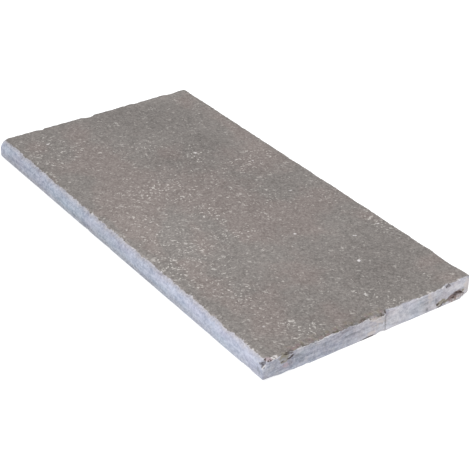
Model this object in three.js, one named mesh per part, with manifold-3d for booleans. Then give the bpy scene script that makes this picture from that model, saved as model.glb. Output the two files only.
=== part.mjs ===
// Pool coping: one slab of aged blue limestone with a rounded nose along its front edge.
// X runs along the nose, +Y points back to the paving behind it, and +Z is up. The origin is
// under the middle of the stone, on the flat bed that is laid in mortar.
import * as THREE from "three";
import { mergeVertices } from "three/addons/utils/BufferGeometryUtils.js";
import Module from "manifold-3d";

// Driving dimensions, in millimetres.
const length = 600;
const width = 300;
const thickness = 27;
const noseTopRadius = 13;
const noseFootRadius = 5;
const noseHandwork = 0.8; // how far the hand-dressed nose strays from its radius
const backArris = 1.5; // least round on the top edge along the back joint
const backFoot = 1.6;
const endArris = 1.2; // least round on the top edge of each end
const endFoot = 1.2;
const frontCorner = 1.2; // plan round of the two corners at the nose
const backCorner = 5;
const wear = 1.3; // how much tumbling adds to the least rounds, at most
const faceRelief = 0.7; // depth of the hollows in the walking face
const facePits = 18; // shallow pits on the walking face
const facePitDepth = 0.5;
const smallestPit = 9; // radius of the narrowest pit, and how much wider the widest is
const pitSpread = 8;
const nickReach = 11; // half length of a nick along its edge
const nickDepth = 3; // its half size across
const crackDepth = 0.75;
const crackOutset = 0.1; // how far the middle of the crack's groove lies outside the end
const flakeRoughness = 0.13; // how far a broken-out flake strays from an even lump
const stationStep = 8; // spacing of the cross-sections along the stone
const endStations = [0, 0.25, 0.8, 1.6, 2.8, 5]; // cross-sections over the round of an end
const topSteps = 36; // spaces across the walking face
const noseSteps = 6; // flats round the nose, and round the smaller edges
const edgeSteps = 3;
const mergeDistance = 1e-4; // corners closer than this are one
const smallestStep = 0.05; // finer shape than this is left out of the cut stone

const halfLength = length / 2;
const halfWidth = width / 2;
const goldenAngle = 2.399963;
const goldenShare = 0.618034;

// Uneven by nature: a few sine waves that cross at the golden angle, each shorter and weaker
// than the one before. Runs from about -1 to 1.
function unevenness(x, y, longest, waves) {
  let sum = 0;
  let most = 0;
  for (let n = 0; n < waves; n += 1) {
    const strength = 0.7 ** n;
    const along = x * Math.cos(goldenAngle * n) + y * Math.sin(goldenAngle * n);
    const waveLength = longest * goldenShare ** n;
    sum += strength * Math.sin((2 * Math.PI * along) / waveLength + 1.7 * n * n);
    most += strength;
  }
  return (1.4 * sum) / most;
}

// Tumbling wear along an edge, from 0 to 1, at a distance along it; each edge has its own offset.
function edgeWear(along, offset) {
  return THREE.MathUtils.clamp(0.5 + 0.5 * unevenness(along, offset, 71, 5), 0, 1);
}

// Drop of a round of the given radius, at a distance in from the face that it meets.
function roundOver(distance, radius) {
  if (distance >= radius) return 0;
  return radius - Math.sqrt(radius ** 2 - (radius - distance) ** 2);
}

// Depth of the walking face below its highest plane: long swells and a scatter of shallow pits.
function faceHollow(x, y) {
  let depth = faceRelief * THREE.MathUtils.clamp(0.5 - 0.5 * unevenness(x, y, 230, 6), 0, 1);
  for (let n = 1; n <= facePits; n += 1) {
    const pitX = length * (((n * goldenShare) % 1) - 0.5);
    const pitY = width * (((n * goldenShare * 3.7) % 1) - 0.5) * 0.8;
    const pitRadius = smallestPit + pitSpread * ((n * 0.37) % 1);
    const reach = Math.hypot(x - pitX, y - pitY) / pitRadius;
    depth += facePitDepth * Math.exp(-reach * reach);
  }
  return depth;
}

// Points along an arc in the cross-section, without its first point.
function arcPoints(centreY, centreZ, radius, from, to, steps) {
  const points = [];
  for (let n = 1; n <= steps; n += 1) {
    const angle = THREE.MathUtils.degToRad(from + ((to - from) * n) / steps);
    points.push([centreY + radius * Math.cos(angle), centreZ + radius * Math.sin(angle)]);
  }
  return points;
}

// The cross-section at x, from the front of the bed round the nose and over to the back.
function crossSection(x) {
  const noseRound = noseTopRadius + noseHandwork * unevenness(x, 40, 190, 3);
  const backRound = backArris + wear * edgeWear(x, 90);
  const noseCentre = -halfWidth + noseRound;
  const footCentre = -halfWidth + noseFootRadius;
  const backCentre = halfWidth - backRound;
  const points = [[footCentre, 0]];
  points.push(...arcPoints(footCentre, noseFootRadius, noseFootRadius, 270, 180, edgeSteps));
  points.push([-halfWidth, (noseFootRadius + thickness - noseRound) / 2]);
  points.push([-halfWidth, thickness - noseRound]);
  points.push(...arcPoints(noseCentre, thickness - noseRound, noseRound, 180, 90, noseSteps));
  for (let n = 1; n <= topSteps; n += 1) {
    points.push([THREE.MathUtils.lerp(noseCentre, backCentre, n / topSteps), thickness]);
  }
  points.push(...arcPoints(backCentre, thickness - backRound, backRound, 90, 0, edgeSteps));
  points.push([halfWidth, thickness / 2]);
  points.push([halfWidth, backFoot]);
  points.push(...arcPoints(halfWidth - backFoot, backFoot, backFoot, 0, -90, edgeSteps));
  return points;
}

// Moves a point of the cross-section at x to its place on the worn stone: the plan narrows
// round the corners, and the height is pulled in by the rounds of the end and the relief.
function wornPoint(x, [y, z]) {
  const fromEnd = halfLength - Math.abs(x);
  const corner = y < 0 ? frontCorner : backCorner;
  const narrow = 1 - roundOver(fromEnd, corner) / halfWidth;
  const arris = endArris + wear * edgeWear(y, x < 0 ? 210 : 150);
  const high = thickness - roundOver(fromEnd, arris) - faceHollow(x, y);
  const low = roundOver(fromEnd, endFoot);
  return [x, y * narrow, low + (z / thickness) * (high - low)];
}

// Places of the cross-sections: close together over the rounds of the ends, then even.
function stationPlaces() {
  const places = [...endStations];
  const evenRun = halfLength - endStations.at(-1);
  const evenSteps = Math.round(evenRun / stationStep);
  for (let n = 1; n <= evenSteps; n += 1) {
    places.push(endStations.at(-1) + (evenRun * n) / evenSteps);
  }
  const left = places.map((fromEnd) => fromEnd - halfLength);
  const right = places.slice(0, -1).map((fromEnd) => halfLength - fromEnd);
  return [...left, ...right.reverse()];
}

// The slab: cross-sections joined in turn, with a flat face at each end.
function slabGeometry() {
  const stations = stationPlaces();
  const sections = stations.map((x) => crossSection(x).map((point) => wornPoint(x, point)));
  const around = sections[0].length;
  const positions = sections.flat(2);
  const index = [];
  for (let i = 0; i + 1 < stations.length; i += 1) {
    for (let k = 0; k < around; k += 1) {
      const next = (k + 1) % around;
      const a = i * around + k;
      const b = i * around + next;
      const c = b + around;
      const d = a + around;
      index.push(a, d, b, b, d, c);
    }
  }
  const lastStart = (stations.length - 1) * around;
  const outline = (section) => section.map(([, y, z]) => new THREE.Vector2(y, z));
  for (const [a, b, c] of THREE.ShapeUtils.triangulateShape(outline(sections[0]), [])) {
    index.push(a, c, b);
  }
  for (const [a, b, c] of THREE.ShapeUtils.triangulateShape(outline(sections.at(-1)), [])) {
    index.push(lastStart + a, lastStart + b, lastStart + c);
  }
  const geometry = new THREE.BufferGeometry();
  geometry.setAttribute("position", new THREE.Float32BufferAttribute(positions, 3));
  geometry.setIndex(index);
  return geometry;
}

const wasm = await Module();
wasm.setup();

// The same shape with its doubled corners merged, and nothing but positions kept.
function merged(geometry) {
  const bare = new THREE.BufferGeometry();
  bare.setAttribute("position", geometry.attributes.position);
  bare.setIndex(geometry.index);
  return mergeVertices(bare, mergeDistance);
}

// A closed geometry as a solid that can be cut.
function solidFrom(geometry) {
  const closed = merged(geometry);
  const vertProperties = new Float32Array(closed.attributes.position.array);
  const triVerts = new Uint32Array(closed.index.array);
  return new wasm.Manifold(new wasm.Mesh({ numProp: 3, vertProperties, triVerts }));
}

// One broken-out flake: a squashed many-sided lump, turned and put where the stone has lost it.
function flake({ at, size, turn = [0, 0, 0], detail = 0 }) {
  const lump = merged(new THREE.IcosahedronGeometry(1, detail));
  const corners = lump.attributes.position;
  const corner = new THREE.Vector3();
  for (let n = 0; n < corners.count; n += 1) {
    corner.fromBufferAttribute(corners, n);
    const bulge = unevenness(9 * corner.x + at[0], 9 * corner.y + at[1], 8, 3);
    corner.multiplyScalar(1 + flakeRoughness * bulge);
    corners.setXYZ(n, corner.x, corner.y, corner.z);
  }
  lump.scale(...size);
  lump.rotateX(THREE.MathUtils.degToRad(turn[0]));
  lump.rotateY(THREE.MathUtils.degToRad(turn[1]));
  lump.rotateZ(THREE.MathUtils.degToRad(turn[2]));
  lump.translate(...at);
  return solidFrom(lump);
}

// The larger losses that can be told apart, by where they are on the stone.
const namedFlakes = [
  // the spalled front corner of the right end, and the crumbled edge beside it
  { at: [294.8, -149.3, 22.4], size: [3, 3.8, 7], turn: [0, 30, 0], detail: 1 },
  { at: [302, -149.5, 27], size: [4, 3.8, 4], turn: [35, 0, 10] },
  { at: [301.5, -133, 28.6], size: [3.4, 6, 2.8], turn: [0, 20, 0], detail: 1 },
  { at: [302, -114, 27.5], size: [4, 5, 4.4], turn: [0, 30, 0] },
  // the worn edge up to the crack in the right end, the nick where the crack comes out, and the
  // broken edge past it
  { at: [303, 0, 29], size: [7, 20, 5], turn: [0, 15, 0], detail: 1 },
  { at: [301, 17, 28], size: [4, 4, 5], turn: [20, 0, 0] },
  { at: [303, 47, 30], size: [8, 27, 6], turn: [0, 0, 2], detail: 1 },
  { at: [301, 112, 27], size: [3, 4, 3.5] },
  // the foot of the right end, from the nose to the back: the bites near the nose, the step beside
  // the crack, and the hollow and the broken corner near the back
  { at: [302.5, -144, -1.5], size: [6.8, 24, 6.2], detail: 1 },
  { at: [302, -119, -1.5], size: [5.6, 16, 4.2], detail: 1 },
  { at: [302, -104, -2], size: [5, 22, 3.9], detail: 1 },
  { at: [302, -93, -1.5], size: [5, 7, 3.7], turn: [0, 0, 6], detail: 1 },
  { at: [302, -45, -1.6], size: [3.9, 18, 3] },
  { at: [302, 12, -1.5], size: [4.8, 9, 4.2], turn: [0, 0, 10] },
  { at: [302, 38, -1.8], size: [4.4, 26, 3.4], detail: 1 },
  { at: [304, 126, 8.2], size: [7.8, 15, 6], turn: [13, 0, 0], detail: 1 },
  { at: [303.5, 112, 4.2], size: [6, 10, 3.2], turn: [25, 0, 0] },
  { at: [302.5, 145, -2], size: [12, 20, 7], turn: [20, 0, 0], detail: 1 },
  { at: [301.8, 154.2, 14], size: [8, 8, 40], detail: 1 },
  // the bite out of the top edge of the left end, and its worn back corner
  { at: [-304, -13, 29], size: [9.5, 12, 8.2], turn: [0, -20, 0], detail: 1 },
  { at: [-303.5, 14, 29], size: [5, 24, 4.5], turn: [0, -20, 0], detail: 1 },
  { at: [-302, 66, 29], size: [4.4, 13, 4], turn: [0, -15, 0] },
  { at: [-302, 129, 29], size: [6, 17, 5], turn: [8, -15, 0], detail: 1 },
  // the back edge, worn lower near its middle and towards its right corner
  { at: [-74, 152, 28.6], size: [17, 4, 3.6] },
  { at: [214, 152, 28.6], size: [30, 4.5, 4], detail: 1 },
  { at: [259, 152.5, 28.8], size: [38, 6.4, 5.3], detail: 1 },
];

// Small nicks at uneven spacing along the line between two corners of an edge: narrow lumps
// that lie along it.
function nicksAlong(start, end, count, offset) {
  const alongX = start[0] !== end[0];
  const nicks = [];
  for (let n = 0; n < count; n += 1) {
    const shift = 0.8 * unevenness(31 * n, offset, 47, 4);
    const share = (n + 0.5 + 0.5 * shift) / count;
    const at = start.map((value, axis) => THREE.MathUtils.lerp(value, end[axis], share));
    const pick = (n * goldenShare + offset) % 1;
    const reach = nickReach * (0.4 + pick);
    const depth = nickDepth * (0.75 + 0.45 * ((7.3 * pick) % 1));
    const size = alongX ? [reach, depth, 0.85 * depth] : [depth, reach, 0.85 * depth];
    nicks.push({ at, size, turn: [20 * shift, 20 * shift, 14 * shift] });
  }
  return nicks;
}

const edgeNicks = [
  ...nicksAlong([-301.3, -116, 28.2], [-301.3, 144, 28.2], 12, 11),
  ...nicksAlong([301, -108, 28], [301, 146, 28], 13, 29),
  ...nicksAlong([-292, 151.4, 28.4], [294, 151.4, 28.4], 19, 53),
  ...nicksAlong([-290, -147.5, 0], [290, -147.5, 0], 9, 71),
  ...nicksAlong([-286, 151.4, -0.6], [286, 151.4, -0.6], 8, 97),
];

// The crack that runs down the right end: a narrow groove in two slanting lengths.
function crackGroove() {
  const groove = (foot, top) => {
    const [footY, footZ] = foot;
    const [topY, topZ] = top;
    const run = Math.hypot(topY - footY, topZ - footZ);
    const bar = new THREE.CylinderGeometry(crackDepth, crackDepth, run, 4);
    bar.rotateX(Math.PI / 2);
    bar.rotateX(Math.atan2(footY - topY, topZ - footZ));
    bar.translate(halfLength + crackOutset, (footY + topY) / 2, (footZ + topZ) / 2);
    return bar;
  };
  return [groove([21.5, -2], [19, 13]), groove([19.2, 12], [18.6, 30])];
}

// Cuts every loss out of the slab.
function wornStone() {
  let stone = solidFrom(slabGeometry());
  for (const loss of [...namedFlakes, ...edgeNicks]) {
    stone = stone.subtract(flake(loss));
  }
  for (const groove of crackGroove()) {
    stone = stone.subtract(solidFrom(groove));
  }
  const { vertProperties, triVerts } = stone.simplify(smallestStep).getMesh();
  const geometry = new THREE.BufferGeometry();
  geometry.setAttribute("position", new THREE.BufferAttribute(vertProperties, 3));
  geometry.setIndex(new THREE.BufferAttribute(triVerts, 1));
  geometry.computeVertexNormals();
  return geometry;
}

const agedLimestone = new THREE.MeshStandardMaterial({
  color: 0x8f8885,
  roughness: 0.85,
  metalness: 0,
});

const copingStone = new THREE.Mesh(wornStone(), agedLimestone);
copingStone.name = "coping_stone";

const coping = new THREE.Group();
coping.add(copingStone);

export default coping;
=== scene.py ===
# Aged limestone pool coping with a rounded nose: the fine stone, its finish, the floor, light and view
import math

import bpy
import numpy as np
from mathutils import Matrix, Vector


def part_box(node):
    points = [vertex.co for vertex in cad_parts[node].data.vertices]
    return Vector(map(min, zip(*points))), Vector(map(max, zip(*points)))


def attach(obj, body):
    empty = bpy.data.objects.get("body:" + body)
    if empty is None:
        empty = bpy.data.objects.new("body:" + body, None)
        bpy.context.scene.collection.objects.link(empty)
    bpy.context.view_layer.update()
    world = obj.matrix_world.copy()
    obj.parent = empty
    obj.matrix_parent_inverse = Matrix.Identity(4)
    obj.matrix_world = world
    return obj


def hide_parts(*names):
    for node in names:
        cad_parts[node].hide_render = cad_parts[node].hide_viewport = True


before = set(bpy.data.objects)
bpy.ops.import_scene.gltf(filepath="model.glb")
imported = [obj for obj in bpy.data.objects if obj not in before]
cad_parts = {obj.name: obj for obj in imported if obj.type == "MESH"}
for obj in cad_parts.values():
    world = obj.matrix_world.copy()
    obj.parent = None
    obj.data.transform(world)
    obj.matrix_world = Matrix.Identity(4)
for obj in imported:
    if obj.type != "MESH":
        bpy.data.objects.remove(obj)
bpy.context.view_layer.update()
print("frame loaded")

millimetre = 0.001
lowCorner, highCorner = (np.array(corner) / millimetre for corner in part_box("coping_stone"))

# everything below is in millimetres until the mesh is filled
stone = {
    "halfLength": (highCorner[0] - lowCorner[0]) / 2,
    "halfWidth": (highCorner[1] - lowCorner[1]) / 2,
    "thickness": highCorner[2] - lowCorner[2],
    "noseTopRadius": 13.0,
    "noseFootRadius": 5.0,
    "noseHandwork": 0.8,  # how far the hand-dressed nose strays from its radius
    "backArris": 1.5,
    "backFoot": 1.6,
    "endArris": 1.2,
    "endFoot": 1.2,
    "frontCorner": 1.2,
    "backCorner": 5.0,
    "wear": 1.3,  # most that tumbling adds to an arris
    "wearLength": 71.0,  # longest wave of that wear
    "ripple": 0.22,  # finer wear on top of it, as a share of it
    "rippleLength": 11.0,
    "faceRelief": 0.7,
    "facePits": 18,
    "facePitDepth": 0.5,
    "smallestPit": 9.0,  # radius of the narrowest pit, and how much wider the widest is
    "pitSpread": 8.0,
    "fineRelief": 0.16,  # unevenness too small for the faceted stone
    "pitDepth": 0.35,
    "crumble": 0.5,  # roughness of the top arrises
    "crumbleReach": 3.0,  # how soon it fades away from them
    "bedding": 0.5,  # depth of the layered relief on the ends and the back
    "crackDepth": 0.8,
    "crackWidth": 0.55,
    "nickReach": 11.0,  # half length of a nick along its edge
    "nickDepth": 3.0,
    "flakeGrain": 0.25,  # roughness of the stone where a flake has come off
    "freshDepth": 0.8,  # a loss this deep shows nothing but fresh stone
    "heartInset": 12.0,  # a flake is pressed in towards the stone's heart, this far inside its sides
    "heartLow": 12.0,  # and between these two heights
    "heartHigh": 15.0,
}
# box of points that is worn down to the stone; the lists are distances in from a face
lattice = {
    "spacing": 1.9,  # between the lines of points on the walking face
    "sideSpacing": 1.37,  # between those up the sides
    "nearEnd": [0, 0.06, 0.22, 0.5, 0.9, 1.4, 2, 2.8, 3.8, 5, 6.5, 8.2, 10.2],
    "nearNose": [0, 1.5, 3, 4.5, 6, 7.5, 9, 10.5, 12, 13.5, 15],
    "nearBack": [0, 0.7, 1.4, 2.2, 3.2, 4.8, 6.8],
    "nearFoot": [0, 0.9, 1.8, 3.2, 4.6],
    "nearTop": [0, 0.7, 1.5, 2.4, 3.4, 4.6],
    "besideCrack": np.linspace(16.5, 24, 16),  # y of the closer lines on either side of the crack
    "clearOfCrack": 0.45,  # no other line comes nearer to them than this
    "onFace": 0.01,  # a point this near a face of the box is on it
    "panel": 12,  # spaces along the side of one flat panel of the bed
}
goldenAngle = 2.399963
goldenShare = 0.618034


# sum of sine waves, each in its own direction, shorter and weaker than the one before
def unevenness(x, y, longest, waves):
    total, most = 0.0, 0.0
    for n in range(waves):
        strength = 0.7 ** n
        along = x * math.cos(goldenAngle * n) + y * math.sin(goldenAngle * n)
        total = total + strength * np.sin(2 * math.pi * along / (longest * goldenShare ** n) + 1.7 * n * n)
        most += strength
    return 1.4 * total / most


# the same in three dimensions: directions spiral over a sphere
def roughness3d(points, longest, waves):
    total, most = 0.0, 0.0
    for n in range(waves):
        up = 1 - 2 * ((n * goldenShare + 0.31) % 1)
        side = math.sqrt(1 - up * up)
        direction = np.array([side * math.cos(goldenAngle * n), side * math.sin(goldenAngle * n), up])
        strength = 0.8 ** n
        waveLength = longest * 0.74 ** n
        total = total + strength * np.sin(2 * math.pi * points @ direction / waveLength + 2.3 * n * n)
        most += strength
    return 1.6 * total / most


# 0 below low, 1 above high, smooth between
def ramp(value, low, high):
    share = np.clip((value - low) / (high - low), 0, 1)
    return share * share * (3 - 2 * share)


# bell of height 1 round a middle
def bell(value, middle, reach):
    return np.exp(-(((value - middle) / reach) ** 2))


# wear along an edge from 0 to 1, with a finer ripple than the faceted stone has
def edgeWear(along, offset):
    coarse = 0.5 + 0.5 * unevenness(along, offset, stone["wearLength"], 5)
    fine = stone["ripple"] * unevenness(along, offset + 33, stone["rippleLength"], 4)
    return np.clip(coarse + fine, 0, 1)


# drop of a round of this radius, at a distance in from the face it meets
def roundOver(distance, radius):
    inside = np.clip(radius - distance, 0, None)
    return radius - np.sqrt(np.clip(radius ** 2 - inside ** 2, 0, None))


# depth of the walking face under its highest plane: swells, plus a scatter of shallow bell-shaped pits
def faceHollow(x, y):
    depth = stone["faceRelief"] * np.clip(0.5 - 0.5 * unevenness(x, y, 230, 6), 0, 1)
    for n in range(1, stone["facePits"] + 1):
        pitX = 2 * stone["halfLength"] * ((n * goldenShare) % 1 - 0.5)
        pitY = 2 * stone["halfWidth"] * ((n * goldenShare * 3.7) % 1 - 0.5) * 0.8
        pitRadius = stone["smallestPit"] + stone["pitSpread"] * ((n * 0.37) % 1)
        outward = ((x - pitX) ** 2 + (y - pitY) ** 2) / pitRadius ** 2
        depth = depth + stone["facePitDepth"] * np.exp(-outward)
    return depth


# lines of points from one face to the other: close over the rounds, even between
def latticeLines(low, high, nearLow, nearHigh, spacing):
    first, last = low + nearLow[-1], high - nearHigh[-1]
    count = round((last - first) / spacing)
    between = np.linspace(first, last, count + 1)[1:-1]
    return np.concatenate([low + np.array(nearLow), between, high - np.array(nearHigh)[::-1]])


# keys of the lattice points round one panel of the bed, seen from below
def panelRim(i0, i1, j0, j1, counts):
    i = [np.full(j1 - j0, i0), np.arange(i0, i1), np.full(j1 - j0, i1), np.arange(i1, i0, -1)]
    j = [np.arange(j0, j1), np.full(i1 - i0, j1), np.arange(j1, j0, -1), np.full(i1 - i0, j0)]
    return (np.concatenate(i) * counts[1] + np.concatenate(j)) * counts[2]


# surface of a box lattice, its faces turned outward and their points shared: quads all over,
# but for the flat middle of the bed, which is paved with panels inside a rim of quads
def boxLattice(xLines, yLines, zLines, rimX, rimY):
    counts = [len(lines) for lines in (xLines, yLines, zLines)]
    quads = []
    for axis in range(3):
        across, up = (axis + 1) % 3, (axis + 2) % 3
        first, second = np.meshgrid(np.arange(counts[across] - 1), np.arange(counts[up] - 1), indexing="ij")
        for level, outwardDown in ((0, True), (counts[axis] - 1, False)):
            keep = np.ones(first.shape, bool)
            if axis == 2 and outwardDown:
                keep[rimX:-rimX, rimY:-rimY] = False
            ring = [(0, 0), (1, 0), (1, 1), (0, 1)]
            corners = []
            for stepAcross, stepUp in (ring[::-1] if outwardDown else ring):
                key = [None, None, None]
                key[axis] = np.full(first.shape, level)
                key[across] = first + stepAcross
                key[up] = second + stepUp
                corners.append(((key[0] * counts[1] + key[1]) * counts[2] + key[2])[keep])
            quads.append(np.stack(corners, 1))
    iCuts = np.append(np.arange(rimX, counts[0] - 1 - rimX, lattice["panel"]), counts[0] - 1 - rimX)
    jCuts = np.append(np.arange(rimY, counts[1] - 1 - rimY, lattice["panel"]), counts[1] - 1 - rimY)
    panels = [panelRim(i0, i1, j0, j1, counts)
              for i0, i1 in zip(iCuts[:-1], iCuts[1:]) for j0, j1 in zip(jCuts[:-1], jCuts[1:])]
    quads = np.concatenate(quads)
    sizes = np.concatenate([np.full(len(quads), 4), [len(panel) for panel in panels]])
    used, loops = np.unique(np.concatenate([quads.ravel(), *panels]), return_inverse=True)
    i, rest = used // (counts[1] * counts[2]), used % (counts[1] * counts[2])
    points = np.stack([xLines[i], yLines[rest // counts[2]], zLines[rest % counts[2]]], 1)
    return points, loops.ravel(), sizes


# turns a square corner of the cross-section into a round one: the offset from the round's
# centre keeps its larger coordinate as its new length
def roundCorner(y, z, centreY, centreZ, signY, signZ):
    offY, offZ = (y - centreY) * signY, (z - centreZ) * signZ
    inCorner = (offY > 0) & (offZ > 0)
    square = np.maximum(offY, offZ)
    length = np.where(inCorner, np.hypot(offY, offZ), 1)
    newY = np.where(inCorner, centreY + signY * offY * square / length, y)
    newZ = np.where(inCorner, centreZ + signZ * offZ * square / length, z)
    return newY, newZ


# box point to stone point: round the cross-section, narrow the plan at the corners, then pull
# the height in by the rounds of the ends and the hollows of the face
def wornShape(points):
    x, y, z = points.T
    thick, halfWidth = stone["thickness"], stone["halfWidth"]
    noseRound = stone["noseTopRadius"] + stone["noseHandwork"] * unevenness(x, 40, 190, 3)
    backRound = stone["backArris"] + stone["wear"] * edgeWear(x, 90)
    foot, backFoot = stone["noseFootRadius"], stone["backFoot"]
    y, z = roundCorner(y, z, -halfWidth + noseRound, thick - noseRound, -1, 1)
    y, z = roundCorner(y, z, -halfWidth + foot, foot, -1, -1)
    y, z = roundCorner(y, z, halfWidth - backRound, thick - backRound, 1, 1)
    y, z = roundCorner(y, z, halfWidth - backFoot, backFoot, 1, -1)
    fromEnd = stone["halfLength"] - np.abs(x)
    corner = np.where(y < 0, stone["frontCorner"], stone["backCorner"])
    y = y * (1 - roundOver(fromEnd, corner) / halfWidth)
    arris = stone["endArris"] + stone["wear"] * edgeWear(y, np.where(x < 0, 210, 150))
    high = thick - roundOver(fromEnd, arris) - faceHollow(x, y)
    low = roundOver(fromEnd, stone["endFoot"])
    return np.stack([x, y, low + z / thick * (high - low)], 1)


# losses that can be told apart: centre, half sizes and turn about X, Y and Z in degrees
namedFlakes = [
    # the spalled front corner of the right end, and the crumbled edge beside it
    ((294.8, -149.3, 22.4), (3, 3.8, 7), (0, 30, 0)),
    ((302, -149.5, 27), (4, 3.8, 4), (35, 0, 10)),
    ((301.5, -133, 28.6), (3.4, 6, 2.8), (0, 20, 0)),
    ((302, -114, 27.5), (4, 5, 4.4), (0, 30, 0)),
    # the worn edge up to the crack in the right end, the nick where the crack comes out, and the
    # broken edge past it
    ((303, 0, 29), (7, 20, 5), (0, 15, 0)),
    ((301, 17, 28), (4, 4, 5), (20, 0, 0)),
    ((303, 47, 30), (8, 27, 6), (0, 0, 2)),
    ((301, 112, 27), (3, 4, 3.5), (0, 0, 0)),
    # the foot of the right end, from the nose to the back: the bites near the nose, the step beside
    # the crack, and the hollow and the broken corner near the back
    ((302.5, -144, -1.5), (6.8, 24, 6.2), (0, 0, 0)),
    ((302, -119, -1.5), (5.6, 16, 4.2), (0, 0, 0)),
    ((302, -104, -2), (5, 22, 3.9), (0, 0, 0)),
    ((302, -93, -1.5), (5, 7, 3.7), (0, 0, 6)),
    ((302, -45, -1.6), (3.9, 18, 3), (0, 0, 0)),
    ((302, 12, -1.5), (4.8, 9, 4.2), (0, 0, 10)),
    ((302, 38, -1.8), (4.4, 26, 3.4), (0, 0, 0)),
    ((304, 126, 8.2), (7.8, 15, 6), (13, 0, 0)),
    ((303.5, 112, 4.2), (6, 10, 3.2), (25, 0, 0)),
    ((302.5, 145, -2), (12, 20, 7), (20, 0, 0)),
    ((301.8, 154.2, 14), (8, 8, 40), (0, 0, 0)),
    # the bite out of the top edge of the left end, and its worn back corner
    ((-304, -13, 29), (9.5, 12, 8.2), (0, -20, 0)),
    ((-303.5, 14, 29), (5, 24, 4.5), (0, -20, 0)),
    ((-302, 66, 29), (4.4, 13, 4), (0, -15, 0)),
    ((-302, 129, 29), (6, 17, 5), (8, -15, 0)),
    # the back edge, worn lower near its middle and towards its right corner
    ((-74, 152, 28.6), (17, 4, 3.6), (0, 0, 0)),
    ((214, 152, 28.6), (30, 4.5, 4), (0, 0, 0)),
    ((259, 152.5, 28.8), (38, 6.4, 5.3), (0, 0, 0)),
]


# small nicks at uneven spacing along an edge: narrow lumps that lie along it
def nicksAlong(start, end, count, offset):
    nicks = []
    for n in range(count):
        shift = 0.8 * float(unevenness(31 * n, offset, 47, 4))
        share = (n + 0.5 + 0.5 * shift) / count
        at = tuple(a + (b - a) * share for a, b in zip(start, end))
        pick = (n * goldenShare + offset) % 1
        reach = stone["nickReach"] * (0.4 + pick)
        depth = stone["nickDepth"] * (0.75 + 0.45 * ((7.3 * pick) % 1))
        size = (reach, depth, 0.85 * depth) if start[0] != end[0] else (depth, reach, 0.85 * depth)
        nicks.append((at, size, (20 * shift, 20 * shift, 14 * shift)))
    return nicks


edgeNicks = (
    nicksAlong((-301.3, -116, 28.2), (-301.3, 144, 28.2), 12, 11)
    + nicksAlong((301, -108, 28), (301, 146, 28), 13, 29)
    + nicksAlong((-292, 151.4, 28.4), (294, 151.4, 28.4), 19, 53)
    + nicksAlong((-290, -147.5, 0), (290, -147.5, 0), 9, 71)
    + nicksAlong((-286, 151.4, -0.6), (286, 151.4, -0.6), 8, 97)
)


# pushes the points inside a squashed ball along one inward direction to the ball's far side
def cutFlake(points, broken, flake):
    centre, size, turn = (np.array(part, float) for part in flake)
    turns = [Matrix.Rotation(math.radians(angle), 3, axis) for angle, axis in zip(turn, "XYZ")]
    toLocal = np.array((turns[2] @ turns[1] @ turns[0]).transposed()) / size[:, None]
    heartX, heartY = (stone[key] - stone["heartInset"] for key in ("halfLength", "halfWidth"))
    lowest, highest = (-heartX, -heartY, stone["heartLow"]), (heartX, heartY, stone["heartHigh"])
    inward = np.clip(centre, lowest, highest) - centre
    inward /= np.linalg.norm(inward)
    near = np.where(np.abs(points - centre).max(1) < size.max() + 1)[0]
    local = (points[near] - centre) @ toLocal.T
    step = toLocal @ inward
    inside = (local ** 2).sum(1) < 1
    near, local = near[inside], local[inside]
    ahead = local @ step
    travel = (-ahead + np.sqrt(ahead ** 2 - (step @ step) * ((local ** 2).sum(1) - 1))) / (step @ step)
    grain = stone["flakeGrain"] * np.clip(travel, 0, 1) * roughness3d(points[near], 7, 5)
    points[near] += (np.clip(travel + grain, 0, None))[:, None] * inward
    broken[near] = np.maximum(broken[near], np.clip(travel / stone["freshDepth"], 0, 1))


# outward normals of the points, from the quads' diagonals; the flat bed's own point down
def pointNormals(points, quads):
    a, b, c, d = (points[quads[:, n]] for n in range(4))
    faceNormals = np.cross(c - a, d - b)
    normals = np.zeros_like(points)
    for n in range(4):
        np.add.at(normals, quads[:, n], faceNormals)
    length = np.linalg.norm(normals, axis=1)
    normals[length == 0] = (0, 0, -1)
    return normals / np.where(length == 0, 1, length)[:, None]


# how the crack wanders down the right end: its y at height z
def crackPlace(z):
    return 18.9 + 2.4 * ramp(13 - z, 0, 14) + 0.35 * np.sin(z * 0.9)


# depth along the normal of what is too small for the faceted stone: a fine swell everywhere, pits
# where a second roughness peaks, and crumbling that fades away from the top arrises
def smallRelief(points, box):
    swell = stone["fineRelief"] * (1 - np.clip(roughness3d(points, 26, 7), -1, 1))
    pits = stone["pitDepth"] * ramp(roughness3d(points + 40, 9, 5), 0.55, 1.0)
    fromSide = np.minimum(stone["halfLength"] - np.abs(box[:, 0]), stone["halfWidth"] - box[:, 1])
    fromArris = fromSide + stone["thickness"] - box[:, 2]
    crumbling = stone["crumble"] * np.exp(-fromArris / stone["crumbleReach"])
    return swell + pits + crumbling * ramp(roughness3d(points + 90, 6.5, 4), -0.3, 0.9)


# depth of the layered relief on the ends and the back: a roughness stretched along the bedding,
# faded out towards the edges of each face
def beddingRelief(box, fromCorner):
    x, y, z = box.T
    layers = roughness3d(np.stack([0.2 * x, 0.2 * y, z], 1), 11, 6)
    fade = ramp(z, 0.5, 4) * ramp(stone["thickness"] - z, 1, 5) * ramp(fromCorner, 0, 6)
    return stone["bedding"] * fade * (0.5 - 0.5 * np.clip(layers, -1, 1))


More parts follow.
